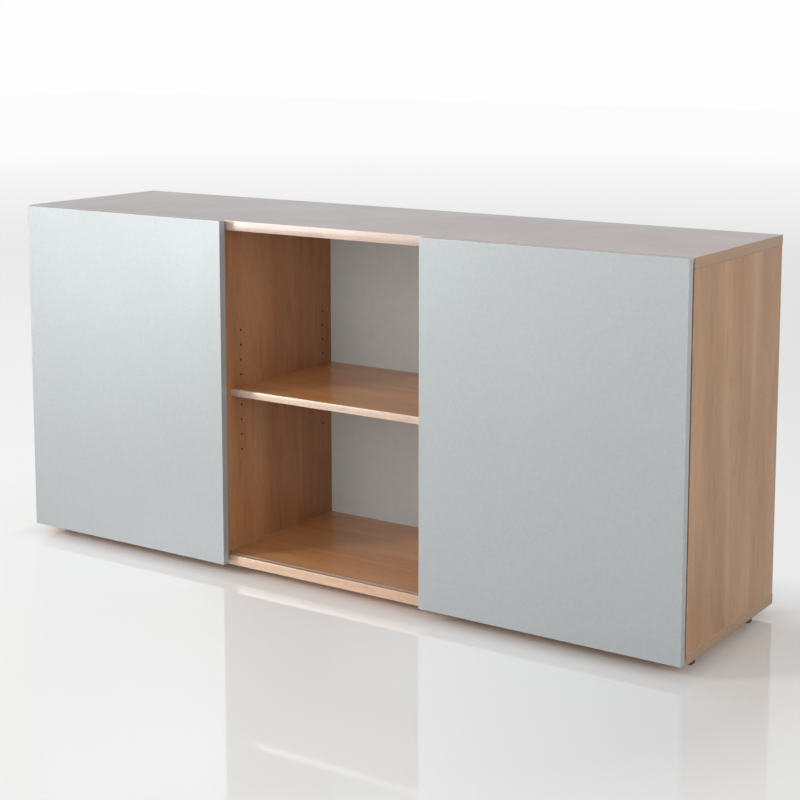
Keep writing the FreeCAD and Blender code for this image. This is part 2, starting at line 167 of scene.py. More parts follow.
# effects that several finishes share
def makeGrain():
    # straight wood grain along Z in six layers, from broad bands to short flecks
    group, given, out = newGroup(
        "straightGrain",
        [("Vector", "Vector", (0, 0, 0))],
        [(label, "Float") for label in ("Band", "Drift", "Line", "Streak", "Thread", "Fleck")],
    )
    # the grain wanders slowly, by up to 30 mm
    sway = addNode(group, "ShaderNodeTexNoise", (-700, 250), {"Scale": 2.6, "Detail": 3.0})
    lean = addNode(group, "ShaderNodeVectorMath", (-500, 250), {"Scale": 0.030}, operation="SCALE")
    bent = addNode(group, "ShaderNodeVectorMath", (-300, 150), operation="ADD")
    connect(
        group,
        (given.outputs["Vector"], sway.inputs["Vector"]),
        (sway.outputs["Color"], lean.inputs[0]),
        (given.outputs["Vector"], bent.inputs[0]),
        (lean.outputs[0], bent.inputs[1]),
    )
    layers = (  # how many to a metre across the grain, how much longer than wide, and detail
        ("Band", 13, 7, 3.0),
        ("Drift", 21, 5, 2.0),
        ("Line", 38, 26, 1.0),
        ("Streak", 95, 7, 2.0),
        ("Thread", 330, 22, 2.0),
        ("Fleck", 760, 9, 1.0),
    )
    for row, (label, count, longer, detail) in enumerate(layers):
        high = 400 - 250 * row
        drawn = addNode(group, "ShaderNodeMapping", (-100, high), {"Scale": (1, 1, 1 / longer)})
        noise = addNode(
            group, "ShaderNodeTexNoise", (150, high), {"Scale": count, "Detail": detail, "Roughness": 0.55}
        )
        connect(
            group,
            (bent.outputs[0], drawn.inputs["Vector"]),
            (drawn.outputs[0], noise.inputs["Vector"]),
            (noise.outputs[0], out.inputs[label]),
        )
    return group


def makeArris():
    # Worn is a patchy wear along the arrises of the board between Low and High, which ends at Width
    # from them. Core is 1 for points within the board, as the walls of a bore are
    group, given, out = newGroup(
        "arrisMask",
        [
            ("Vector", "Vector", (0, 0, 0)),
            ("Low", "Vector", (0, 0, 0)),
            ("High", "Vector", (1, 1, 1)),
            ("Width", "Float", 0.002),
        ],
        [("Worn", "Float"), ("Core", "Float")],
    )
    fromLow = addNode(group, "ShaderNodeVectorMath", (-700, 150), operation="SUBTRACT")
    fromHigh = addNode(group, "ShaderNodeVectorMath", (-700, -50), operation="SUBTRACT")
    nearest = addNode(group, "ShaderNodeVectorMath", (-500, 50), operation="MINIMUM")
    parted = addNode(group, "ShaderNodeSeparateXYZ", (-300, 50))
    connect(
        group,
        (given.outputs["Vector"], fromLow.inputs[0]),
        (given.outputs["Low"], fromLow.inputs[1]),
        (given.outputs["High"], fromHigh.inputs[0]),
        (given.outputs["Vector"], fromHigh.inputs[1]),
        (fromLow.outputs[0], nearest.inputs[0]),
        (fromHigh.outputs[0], nearest.inputs[1]),
        (nearest.outputs[0], parted.inputs[0]),
    )
    x, y, z = parted.outputs
    lower = maths(group, "MINIMUM", x, y, (-100, 150))
    upper = maths(group, "MAXIMUM", x, y, (-100, 0))
    second = maths(group, "MAXIMUM", lower, maths(group, "MINIMUM", upper, z, (0, -100)), (150, 50))
    share = maths(group, "DIVIDE", second, given.outputs["Width"], (300, 50))
    arris = maths(group, "SUBTRACT", 1.0, share, (450, 50), clamp=True)
    chips = addNode(group, "ShaderNodeTexNoise", (300, -200), {"Scale": 70.0, "Detail": 3.0})
    connect(group, (given.outputs["Vector"], chips.inputs["Vector"]))
    patches = spread(group, chips.outputs[0], 0.45, 0.68, 0, 1, (500, -200))
    worn = maths(group, "MULTIPLY", arris, patches, (650, -50))
    depth = maths(group, "MINIMUM", lower, z, (0, -350))
    core = spread(group, depth, 0.0002, 0.0006, 0, 1, (200, -400))
    connect(group, (worn, out.inputs["Worn"]), (core, out.inputs["Core"]))
    return group


def makeHandling():
    # faint cloudy smudges and fine lint that vary the sheen
    group, given, out = newGroup(
        "handling",
        [("Vector", "Vector", (0, 0, 0)), ("Low", "Float", 0.3), ("High", "Float", 0.4)],
        [("Roughness", "Float"), ("Cloud", "Float")],
    )
    broad = addNode(group, "ShaderNodeTexNoise", (-500, 100), {"Scale": 3.5, "Detail": 4.0, "Roughness": 0.6})
    fine = addNode(group, "ShaderNodeTexNoise", (-500, -150), {"Scale": 260.0, "Detail": 2.0})
    connect(
        group,
        (given.outputs["Vector"], broad.inputs["Vector"]),
        (given.outputs["Vector"], fine.inputs["Vector"]),
    )
    lint = addNode(group, "ShaderNodeMath", (-250, 0), {1: 0.35, 2: -0.17}, operation="MULTIPLY_ADD")
    connect(group, (fine.outputs[0], lint.inputs[0]))
    summed = maths(group, "ADD", broad.outputs[0], lint.outputs[0], (-50, 0))
    node = addNode(group, "ShaderNodeMapRange", (200, 0), {1: 0.3, 2: 0.7})
    connect(
        group,
        (summed, node.inputs[0]),
        (given.outputs["Low"], node.inputs[3]),
        (given.outputs["High"], node.inputs[4]),
        (node.outputs[0], out.inputs["Roughness"]),
        (summed, out.inputs["Cloud"]),
    )
    return group


grainGroup = makeGrain()
arrisGroup = makeArris()
handlingGroup = makeHandling()


def newMaterial(name):
    material = bpy.data.materials.new(name)
    material.use_nodes = True
    tree = material.node_tree
    tree.nodes.clear()
    shader = addNode(tree, "ShaderNodeBsdfPrincipled", (600, 0))
    output = addNode(tree, "ShaderNodeOutputMaterial", (900, 0))
    place = addNode(tree, "ShaderNodeTexCoord", (-1200, 0))
    tree.links.new(shader.outputs[0], output.inputs[0])
    return material, tree, shader, place.outputs["Object"]


def bump(tree, shader, height, strength, distance):
    node = addNode(tree, "ShaderNodeBump", (350, -350), {"Strength": strength, "Distance": distance})
    connect(tree, (height, node.inputs["Height"]), (node.outputs[0], shader.inputs["Normal"]))
    return node


def handledSheen(tree, shader, place, limits, at):
    handled = useGroup(tree, handlingGroup, at, {"Low": limits[0], "High": limits[1]})
    connect(
        tree, (place, handled.inputs["Vector"]), (handled.outputs["Roughness"], shader.inputs["Roughness"])
    )
    return handled


def dress(nodeName, material):
    data = nodes[nodeName].data
    data.materials.clear()
    data.materials.append(material)


print("shared effects built")

# wood boards and their edging
wood = {
    "pale": (0.434, 0.249, 0.127),
    "middle": (0.379, 0.204, 0.096),
    "deep": (0.313, 0.157, 0.071),
    "worn": (0.600, 0.390, 0.240),
    "core": (0.060, 0.032, 0.018),  # raw chipboard inside the bores
    "paintedTopShade": (0.162, 0.108, 0.111),  # painted shade: at a low angle the top's colour is painted darker and greyer, under its coat's shine
    "paintedTopShadeBoard": "top_panel",
    "paintedTopShadeReach": (0.70, 0.90),  # from where to where it comes in, 1 being edge on
    "roughness": (0.30, 0.40),
    "coat": {"x": 0.42, "z": 0.0},
    "coatRoughness": 0.16,
    "drift": 0.70,
    "streaks": 0.42,
    "lines": 0.22,
    "wearWidth": 0.0012,
}
# the band's own colour is paler than the boards', and these colours are painted paler still as painted
# highlight of the lit front edges
edging = {
    "pale": (0.675, 0.497, 0.368),
    "middle": (0.620, 0.438, 0.312),
    "deep": (0.531, 0.355, 0.237),
    "worn": (0.700, 0.540, 0.420),
    "core": (0.300, 0.200, 0.140),
    "end": (0.322, 0.190, 0.100),  # on the short edges of a board the band is as deep as the sides, without the painted highlight that the colours above carry on the long front edges
    "endTurn": (0.0016, 0.0006),  # where it turns from the one to the other, in from a short edge
    "roughness": (0.28, 0.34),
    "coat": {"x": 0.9, "z": 0.0},
    "coatRoughness": 0.22,
    "drift": 0.3,
    "streaks": 0.35,
    "lines": 0.20,
    "crown": 0.0009,  # how far the band bulges
    "wearWidth": 0.0010,
}


def crownHeight(tree, place, low, high):
    # 0 at the band's lower and upper arris and 1 midway
    parted = addNode(tree, "ShaderNodeSeparateXYZ", (-700, -900))
    connect(tree, (place, parted.inputs[0]))
    across = spread(tree, parted.outputs[2], low[2], high[2], -1, 1, (-500, -900))
    return maths(tree, "SUBTRACT", 1.0, maths(tree, "MULTIPLY", across, across, (-300, -900)), (-100, -900))


def endShare(tree, place, low, high, turn):
    # 1 on the two short edges of a board, 0 on the long ones
    parted = addNode(tree, "ShaderNodeSeparateXYZ", (-700, -1150))
    connect(tree, (place, parted.inputs[0]))
    out = maths(tree, "ABSOLUTE", maths(tree, "SUBTRACT", parted.outputs[0], (low[0] + high[0]) / 2), 0)
    reach = (high[0] - low[0]) / 2
    return spread(tree, out, reach - turn[0], reach - turn[1], 0, 1, (-100, -1150))


# where each layer of the grain turns from one colour to the next, how strongly it counts, and its relief
shades = {
    "figure": (0.30, 0.48, 0.68),
    "drift": [(0.36, (0.90, 0.98, 1.0)), (0.62, (1.0, 0.92, 0.84))],
    "streak": [(0.30, (0.70, 0.62, 0.58)), (0.44, 1.0)],
    "thread": [(0.35, (0.80, 0.78, 0.76)), (0.55, 1.0)],
    "fleck": [(0.30, (0.60, 0.55, 0.52)), (0.40, 1.0)],
    "line": (0.62, 0.70),
    "threadShare": 0.30,
    "fleckShare": 0.50,
    "linePaler": 1.25,
    "relief": (0.12, 0.0002),
}


def grainColour(tree, grain, finish, paintedLightTint):
    steps = zip(shades["figure"], (finish["deep"], finish["middle"], finish["pale"]))
    figure = ramp(tree, grain.outputs["Band"], list(steps), (-500, 250))
    drift = ramp(tree, grain.outputs["Drift"], shades["drift"], (-500, 50))
    streak = ramp(tree, grain.outputs["Streak"], shades["streak"], (-500, -150))
    thread = ramp(tree, grain.outputs["Thread"], shades["thread"], (-500, -350))
    fleck = ramp(tree, grain.outputs["Fleck"], shades["fleck"], (-500, -550))
    colour = mixColours(tree, finish["drift"], figure, drift, (-250, 200), "MULTIPLY")
    colour = mixColours(tree, finish["streaks"], colour, streak, (-150, 150), "MULTIPLY")
    colour = mixColours(tree, shades["threadShare"], colour, thread, (-50, 100), "MULTIPLY")
    colour = mixColours(tree, shades["fleckShare"], colour, fleck, (50, 50), "MULTIPLY")
    lines = spread(tree, grain.outputs["Line"], *shades["line"], 0, finish["lines"], (50, 250))
    colour = mixColours(tree, lines, colour, scaled(finish["pale"], shades["linePaler"]), (100, 150))
    # the painted light tint: each board and band painted paler or deeper for how the light falls on it
    return mixColours(tree, 1.0, colour, paintedLightTint, (150, 0), "MULTIPLY")


def woodMaterial(nodeName, finish, along, start, paintedLightTint):
    low, high = (tuple(corner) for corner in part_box(nodeName))
    material, tree, shader, place = newMaterial(nodeName + ".finish")
    turn = {"x": (0, math.radians(90), 0), "z": (0, 0, 0)}[along]
    laid = addNode(tree, "ShaderNodeMapping", (-1000, 0), {"Location": start, "Rotation": turn})
    grain = useGroup(tree, grainGroup, (-800, 0))
    arris = useGroup(tree, arrisGroup, (-800, -300), {"Low": low, "High": high, "Width": finish["wearWidth"]})
    connect(
        tree,
        (place, laid.inputs["Vector"]),
        (laid.outputs[0], grain.inputs["Vector"]),
        (place, arris.inputs["Vector"]),
    )
    handledSheen(tree, shader, place, finish["roughness"], (-800, 300))
    shader.inputs["Coat Weight"].default_value = finish["coat"][along]
    shader.inputs["Coat Roughness"].default_value = finish["coatRoughness"]
    fine = bump(tree, shader, grain.outputs["Fleck"], *shades["relief"])
    colour = grainColour(tree, grain, finish, paintedLightTint)
    if "crown" in finish and along == "x":
        # these bands run round a board: they bulge, and on its short edges they are deep, without the painted
        # highlight of the front edges, and have no coat
        ends = endShare(tree, place, low, high, finish["endTurn"])
        colour = mixColours(tree, ends, colour, finish["end"], (200, 100))
        coat = maths(tree, "MULTIPLY", maths(tree, "SUBTRACT", 1.0, ends), finish["coat"][along], (300, 300))
        crown = addNode(tree, "ShaderNodeBump", (150, -600), {"Strength": 1.0, "Distance": finish["crown"]})
        connect(
            tree,
            (coat, shader.inputs["Coat Weight"]),
            (crownHeight(tree, place, low, high), crown.inputs["Height"]),
            (crown.outputs[0], fine.inputs["Normal"]),
            (crown.outputs[0], shader.inputs["Coat Normal"]),
        )
    # painted shade on the top board, darker and greyer towards edge on
    if nodeName == finish.get("paintedTopShadeBoard"):
        weight = addNode(tree, "ShaderNodeLayerWeight", (-250, 500), {"Blend": 0.5})
        lowAngle = spread(tree, weight.outputs["Facing"], *finish["paintedTopShadeReach"], 0, 1, (-50, 500))
        colour = mixColours(tree, lowAngle, colour, finish["paintedTopShade"], (250, 200))
    colour = mixColours(tree, arris.outputs["Worn"], colour, finish["worn"], (300, 50))
    colour = mixColours(tree, arris.outputs["Core"], colour, finish["core"], (400, 50))
    connect(tree, (colour, shader.inputs["Base Color"]))
    return material


boards = {  # which way the grain runs, where in the wood each board is cut, and its painted light tint: the lying boards and the dividers are painted paler than the sides, as if lit more
    "top_panel": ("x", (0.3, 0.1, 0.2), (1.57, 1.43, 1.23)),
    "bottom_panel": ("x", (2.7, 1.4, 0.9), (1.60, 1.43, 1.19)),
    "left_side_panel": ("z", (5.1, 2.2, 0.4), (1.0, 1.0, 1.0)),
    "right_side_panel": ("z", (3.9, 0.6, 1.1), (1.0, 1.0, 1.0)),
    "left_divider_panel": ("z", (1.3, 4.2, 2.0), (1.14, 1.05, 1.0)),
    "right_divider_panel": ("z", (7.3, 3.1, 0.7), (1.14, 1.05, 1.0)),
    "left_shelf": ("x", (0.9, 5.3, 1.9), (1.60, 1.43, 1.14)),
    "middle_shelf": ("x", (4.4, 6.6, 3.1), (1.60, 1.43, 1.14)),
    "right_shelf": ("x", (6.2, 7.7, 2.4), (1.60, 1.43, 1.14)),
}
# each band's painted light tint: the top and shelf bands painted paler for their highlights, the bottom band
# deeper, the upright bands as deep as the boards
bands = {
    "top_edging": ("x", (1.7, 0.4, 3.2), (0.89, 0.97, 1.13)),
    "bottom_edging": ("x", (3.3, 2.1, 0.5), (0.92, 0.82, 0.74)),
    "side_edging": ("z", (0.7, 3.8, 1.6), (0.58, 0.45, 0.34)),
    "divider_edging": ("z", (2.9, 5.5, 0.2), (0.58, 0.45, 0.34)),
    "shelf_edging": ("x", (5.8, 1.2, 4.1), (1.06, 1.11, 1.18)),
}
for finish, group in ((wood, boards), (edging, bands)):
    for nodeName, (along, start, paintedLightTint) in group.items():
        dress(nodeName, woodMaterial(nodeName, finish, along, start, paintedLightTint))
print("wood boards finished")

# silver doors and the grey back
silver = {
    "colour": (0.385, 0.405, 0.412),
    "dark": (0.363, 0.383, 0.390),
    "metallic": 0.40,
    "roughness": (0.38, 0.44),
    "peel": 900.0,  # fine orange peel, in dimples per metre
    "waves": 150.0,  # broader unevenness under it, per metre
    "waviness": 1.5556,  # how much higher the waves are than the peel
}
grey = {
    "colour": (0.700, 0.805, 0.840),
    "dark": (0.675, 0.778, 0.812),
    "metallic": 0.0,
    "roughness": (0.40, 0.50),
    "peel": 1400.0,
    "waves": 60.0,
    "waviness": 0.3333,
}
paint = {
    "wearWidth": 0.0012,
    "wornPaler": 1.2,
    "relief": (0.18, 0.0004),
}


def paintMaterial(nodeName, finish):
    low, high = (tuple(corner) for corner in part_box(nodeName))
    material, tree, shader, place = newMaterial(nodeName + ".finish")
    arris = useGroup(tree, arrisGroup, (-800, -300), {"Low": low, "High": high, "Width": paint["wearWidth"]})
    peel = addNode(
        tree, "ShaderNodeTexNoise", (-800, 0), {"Scale": finish["peel"], "Detail": 2.0, "Roughness": 0.6}
    )
    waves = addNode(tree, "ShaderNodeTexNoise", (-800, -600), {"Scale": finish["waves"], "Detail": 4.0})
    connect(
        tree,
        (place, arris.inputs["Vector"]),
        (place, peel.inputs["Vector"]),
        (place, waves.inputs["Vector"]),
    )
    handledSheen(tree, shader, place, finish["roughness"], (-800, 300))
    shader.inputs["Metallic"].default_value = finish["metallic"]
    shade = spread(tree, waves.outputs[0], 0.35, 0.65, 0, 1, (-500, -500))
    body = mixColours(tree, shade, finish["dark"], finish["colour"], (-250, 0))
    worn = scaled(finish["colour"], paint["wornPaler"])
    rubbed = mixColours(tree, arris.outputs["Worn"], body, worn, (0, 0))
    connect(tree, (rubbed, shader.inputs["Base Color"]))
    relief = maths(tree, "MULTIPLY", waves.outputs[0], finish["waviness"], (100, -450))
    bump(tree, shader, maths(tree, "ADD", relief, peel.outputs[0], (250, -450)), *paint["relief"])
    return material


for side in ("left", "right"):
    for part in ("panel", "edging"):
        nodeName = side + "_door_" + part
        dress(nodeName, paintMaterial(nodeName, silver))
dress("back_panel", paintMaterial("back_panel", grey))
print("doors and back finished")

# metal, nylon, rubber and plastic
metals = {
    "trackAluminium": {
        "colour": (0.62, 0.59, 0.52),
        "metallic": 0.3,
        "roughness": (0.30, 0.42),
        "lines": (4, 900, 900),  # per metre, drawn along its length
    },
    "zincSteel": {
        "colour": (0.56, 0.57, 0.59),
        "metallic": 1.0,
        "roughness": (0.28, 0.46),
        "lines": (160, 160, 160),  # cloudy all ways
    },
}
mouldings = {
    "whiteNylon": {"colour": (0.72, 0.72, 0.68), "roughness": (0.38, 0.52), "texture": 700.0},
    "blackRubber": {"colour": (0.030, 0.030, 0.030), "roughness": (0.70, 0.85), "texture": 900.0},
    "blackPlastic": {"colour": (0.035, 0.035, 0.038), "roughness": (0.45, 0.60), "texture": 1200.0},
}
hardware = {  # the deep end of each tint, against its colour, and the relief
    "metal": {"deeper": 0.86, "relief": (0.10, 0.0001)},
    "moulded": {"deeper": 0.85, "relief": (0.15, 0.0001)},
}


def tinted(tree, shader, pattern, colour, factor, at):
    tint = spread(tree, pattern, 0.3, 0.7, 0, 1, at)
    connect(tree, (mixColours(tree, tint, scaled(colour, factor), colour), shader.inputs["Base Color"]))


def metalMaterial(name, finish):
    material, tree, shader, place = newMaterial(name)
    drawn = addNode(tree, "ShaderNodeMapping", (-1000, -200), {"Scale": finish["lines"]})
    lines = addNode(tree, "ShaderNodeTexNoise", (-800, -200), {"Scale": 1.0, "Detail": 3.0})
    connect(tree, (place, drawn.inputs["Vector"]), (drawn.outputs[0], lines.inputs["Vector"]))
    handledSheen(tree, shader, place, finish["roughness"], (-800, 200))
    tinted(tree, shader, lines.outputs[0], finish["colour"], hardware["metal"]["deeper"], (-500, -200))
    shader.inputs["Metallic"].default_value = finish["metallic"]
    bump(tree, shader, lines.outputs[0], *hardware["metal"]["relief"])
    return material


def mouldedMaterial(name, finish):
    material, tree, shader, place = newMaterial(name)
    texture = addNode(tree, "ShaderNodeTexNoise", (-800, -200), {"Scale": finish["texture"], "Detail": 2.0})
    connect(tree, (place, texture.inputs["Vector"]))
    handled = handledSheen(tree, shader, place, finish["roughness"], (-800, 200))
    tinted(tree, shader, handled.outputs["Cloud"], finish["colour"], hardware["moulded"]["deeper"], (-500, 0))
    bump(tree, shader, texture.outputs[0], *hardware["moulded"]["relief"])
    return material


finishes = {name: metalMaterial(name, finish) for name, finish in metals.items()}
finishes.update({name: mouldedMaterial(name, finish) for name, finish in mouldings.items()})
for nodeName in nodes:
    if nodeName.endswith("_track"):
        dress(nodeName, finishes["trackAluminium"])
    elif nodeName.endswith(("_carriages", "_guides", "_axles")) or nodeName == "shelf_pins":
        dress(nodeName, finishes["zincSteel"])
    elif nodeName.endswith(("_roller", "_guide_pins")):
        dress(nodeName, finishes["whiteNylon"])
    elif nodeName == "track_stops":
        dress(nodeName, finishes["blackRubber"])
    elif nodeName.startswith("foot_"):
        dress(nodeName, finishes["blackPlastic"])
print("hardware finished")


# small pieces: feet, rollers and screws
def startAt(add, **settings):
    if bpy.context.mode != "OBJECT":
        bpy.ops.object.mode_set(mode="OBJECT")
    bpy.ops.object.select_all(action="DESELECT")
    add(**settings)
    piece = bpy.context.object
    bpy.ops.object.transform_apply(location=True, rotation=True, scale=True)
    return piece


def pickFaces(piece, test):
    # selects the faces whose middle and normal pass the test, and goes into edit mode
    bpy.ops.object.mode_set(mode="OBJECT")
    for group in (piece.data.vertices, piece.data.edges):
        for item in group:
            item.select = False
    for face in piece.data.polygons:
        face.select = test(face.center, face.normal)
    bpy.ops.object.mode_set(mode="EDIT")
    bpy.ops.mesh.select_mode(type="FACE")


def pickEdges(piece, test):
    # selects the edges whose two ends pass the test, and goes into edit mode
    bpy.ops.object.mode_set(mode="OBJECT")
    points = piece.data.vertices
    for group in (points, piece.data.polygons):
        for item in group:
            item.select = False
    for edge in piece.data.edges:
        edge.select = all(test(points[end].co) for end in edge.vertices)
    bpy.ops.object.mode_set(mode="EDIT")
    bpy.ops.mesh.select_mode(type="EDGE")


def thicken(amount):
    # the picked faces rise along their normals by the amount, or sink where it is negative
    bpy.ops.mesh.extrude_region_shrink_fatten(TRANSFORM_OT_shrink_fatten={"value": amount})


def closePiece(piece, name, angle=35):
    bpy.ops.object.mode_set(mode="EDIT")
    bpy.ops.mesh.select_all(action="SELECT")
    bpy.ops.mesh.remove_doubles(threshold=0.000002)
    bpy.ops.mesh.normals_make_consistent(inside=False)
    bpy.ops.object.mode_set(mode="OBJECT")
    bpy.ops.object.select_all(action="DESELECT")
    piece.select_set(True)
    bpy.context.view_layer.objects.active = piece
    bpy.ops.object.shade_smooth_by_angle(angle=math.radians(angle))
    piece.name = name


def joinPieces(main, others):
    bpy.ops.object.mode_set(mode="OBJECT")
    bpy.ops.object.select_all(action="DESELECT")
    for piece in (main, *others):
        piece.select_set(True)
    bpy.context.view_layer.objects.active = main
    bpy.ops.object.join()


def applyModifier(piece, kind, **settings):
    bpy.ops.object.mode_set(mode="OBJECT")
    bpy.context.view_layer.objects.active = piece
    modifier = piece.modifiers.new(kind.lower(), kind)
    for key, value in settings.items():
        setattr(modifier, key, value)
    bpy.ops.object.modifier_apply(modifier=modifier.name)


def copyTo(pattern, name, matrix):
    piece = pattern.copy()
    piece.data = pattern.data.copy()
    piece.data.transform(matrix)
    piece.name = name
    scene.collection.objects.link(piece)
    return piece


def settle(piece, body, material):
    piece.data.materials.clear()
    piece.data.materials.append(material)
    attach(piece, body)


foot = {
    "rim": 0.0075,  # height of the disc that stands on the floor
    "rimRound": 0.0022,
    "lip": 0.0015,
    "dish": 0.0010,
    "collar": 0.0115,
    "sole": {"edge": 0.0030, "depth": 0.0012, "ring": 0.0080, "rise": 0.0010},
    "hexCorner": 0.0088,
    "hexRound": 0.0007,
    "seat": 0.0197,  # the top of the nut, just below the bottom board
    "stem": 0.0050,
    "stemCore": 0.0044,
    "stemSunk": 0.0005,  # into the nut
    "stemRound": 0.0006,
    "pitch": 0.0015,
}


def threadedStem(shape, bottom, top):
    core, pitch = shape["stemCore"], shape["pitch"]
    tooth = shape["stem"] - core
    rod = startAt(
        bpy.ops.mesh.primitive_cylinder_add,
        vertices=32,
        radius=core,
        depth=top - bottom,
        location=(0, 0, (top + bottom) / 2),
    )
    pickEdges(rod, lambda co: co.z > top - 0.0001)
    bpy.ops.mesh.bevel(offset=shape["stemRound"], segments=2)
    bpy.ops.object.mode_set(mode="OBJECT")
    # the thread is a small triangle wound up the rod
    thread = startAt(
        bpy.ops.mesh.primitive_circle_add,
        vertices=3,
        radius=tooth * 0.9,
        rotation=(math.radians(90), math.radians(90), 0),
        location=(core + tooth * 0.1, 0, bottom + pitch),
    )
    rounds = int((top - bottom - 2 * pitch) / pitch)
    applyModifier(thread, "SCREW", screw_offset=pitch, iterations=rounds, steps=28, render_steps=28)
    for end in (bottom + pitch, bottom + pitch * (1 + rounds)):
        pickEdges(thread, lambda co: abs(co.z - end) < pitch * 0.45 and co.x > 0 and abs(co.y) < 0.00002)
        bpy.ops.mesh.edge_face_add()
    joinPieces(rod, [thread])
    return rod


def footDisc(shape, radius):
    rim, sole = shape["rim"], shape["sole"]
    disc = startAt(
        bpy.ops.mesh.primitive_cylinder_add,
        vertices=72,
        radius=radius,
        depth=rim,
        location=(0, 0, rim / 2),
    )
    pickEdges(disc, lambda co: co.xy.length > radius * 0.99 and co.z > rim * 0.9)
    bpy.ops.mesh.bevel(offset=shape["rimRound"], segments=5)
    pickEdges(disc, lambda co: co.xy.length > radius * 0.99 and co.z < rim * 0.1)
    bpy.ops.mesh.bevel(offset=shape["rimRound"] * 0.4, segments=3)
    # a shallow dish in the top, round a raised collar
    pickFaces(disc, lambda middle, normal: normal.z > 0.99)
    bpy.ops.mesh.inset(thickness=shape["lip"])
    thicken(-shape["dish"])
    bpy.ops.mesh.inset(thickness=radius - shape["rimRound"] - shape["lip"] - shape["collar"])
    thicken(shape["dish"] * 1.5)
    # and a hollow sole with a raised middle
    pickFaces(disc, lambda middle, normal: normal.z < -0.99)
    bpy.ops.mesh.inset(thickness=sole["edge"])
    thicken(-sole["depth"])
    bpy.ops.mesh.inset(thickness=sole["ring"])
    thicken(sole["rise"])
    return disc


def levellingFoot(shape, radius, top):
    disc = footDisc(shape, radius)
    seat = shape["seat"]
    nutLow = shape["rim"] + shape["dish"] * 0.5
    nut = startAt(
        bpy.ops.mesh.primitive_cylinder_add,
        vertices=6,
        radius=shape["hexCorner"],
        depth=seat - nutLow,
        location=(0, 0, (seat + nutLow) / 2),
    )
    bpy.ops.object.mode_set(mode="EDIT")
    bpy.ops.mesh.select_all(action="SELECT")
    bpy.ops.mesh.bevel(offset=shape["hexRound"], segments=3)
    stem = threadedStem(shape, seat - shape["stemSunk"], top)
    joinPieces(disc, [nut, stem])
    closePiece(disc, "footPattern")
    return disc


footNames = [name for name in nodes if name.startswith("foot_")]
low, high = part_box(footNames[0])
pattern = levellingFoot(foot, (high[0] - low[0]) / 2, high[2])
for index, nodeName in enumerate(footNames):
    low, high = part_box(nodeName)
    turned = Matrix.Rotation(math.radians(23 * index), 4, "Z")
    moved = Matrix.Translation(((low[0] + high[0]) / 2, (low[1] + high[1]) / 2, 0))
    piece = copyTo(pattern, nodeName + "_glide", moved @ turned)
    settle(piece, nodeName, finishes["blackPlastic"])
    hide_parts(nodeName)
bpy.data.objects.remove(pattern)
print("feet modelled:", len(footNames))

roller = {
    "crown": 0.0010,
    "tyre": 0.0030,
    "recess": 0.0011,
    "hub": 0.0060,
    "bore": 0.00255,
    "ribs": 8,
    "ribHalf": 0.09,  # half the width of a rib, in radians
    "ribHeight": 0.0006,
}


def trackRoller(shape, radius, width):
    # turns about the Y axis
    wheel = startAt(
        bpy.ops.mesh.primitive_cylinder_add,
        vertices=96,
        radius=radius,
        depth=width,
        rotation=(math.radians(90), 0, 0),
    )
    pickEdges(wheel, lambda co: abs(co.y) > width * 0.49 and co.length > radius * 0.9)
    bpy.ops.mesh.bevel(offset=shape["crown"], segments=5)
    pickFaces(wheel, lambda middle, normal: abs(normal.y) > 0.99)
    bpy.ops.mesh.inset(thickness=shape["tyre"] - shape["crown"])
    thicken(-shape["recess"])
    web = radius - shape["tyre"]
    bpy.ops.mesh.inset(thickness=web - shape["hub"])
    thicken(shape["recess"])
    bpy.ops.mesh.inset(thickness=shape["hub"] - shape["bore"])
    bpy.ops.mesh.delete(type="FACE")
    pickEdges(wheel, lambda co: abs(co.xz.length - shape["bore"]) < 0.0002)
    bpy.ops.mesh.bridge_edge_loops()
    step = 2 * math.pi / shape["ribs"]

    def onRib(middle, normal):
        across = math.hypot(middle.x, middle.z)
        onWeb = abs(normal.y) > 0.99 and shape["hub"] < across < web
        offset = math.atan2(middle.z, middle.x) % step
        return onWeb and min(offset, step - offset) < shape["ribHalf"]

    pickFaces(wheel, onRib)
    thicken(shape["ribHeight"])
    closePiece(wheel, "rollerPattern")
    return wheel


rollerNames = [name for name in nodes if name.endswith("_roller")]
low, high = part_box(rollerNames[0])
pattern = trackRoller(roller, (high[0] - low[0]) / 2, high[1] - low[1])
for index, nodeName in enumerate(rollerNames):
    low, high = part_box(nodeName)
    turned = Matrix.Rotation(math.radians(17 * index), 4, "Y")
    moved = Matrix.Translation([(a + b) / 2 for a, b in zip(low, high)])
    piece = copyTo(pattern, nodeName + "_wheel", moved @ turned)
    settle(piece, nodeName, finishes["whiteNylon"])
    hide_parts(nodeName)
bpy.data.objects.remove(pattern)
print("rollers modelled:", len(rollerNames))

screw = {
    "radius": 0.0036,
    "head": 0.0021,
    "dome": 0.0013,
    "slotWide": 0.0010,
    "slotLong": 0.0042,
    "slotDeep": 0.0013,
    "slotTaper": 0.6,  # the slots narrow towards their bottom
    "apart": {"carriages": 0.034, "guides": 0.022},
    "seat": 0.0014,  # the face of the plate, out from the door's back
    "fromEnd": 0.012,  # down from the top of a carriage's plate, up from the foot of a guide's
}


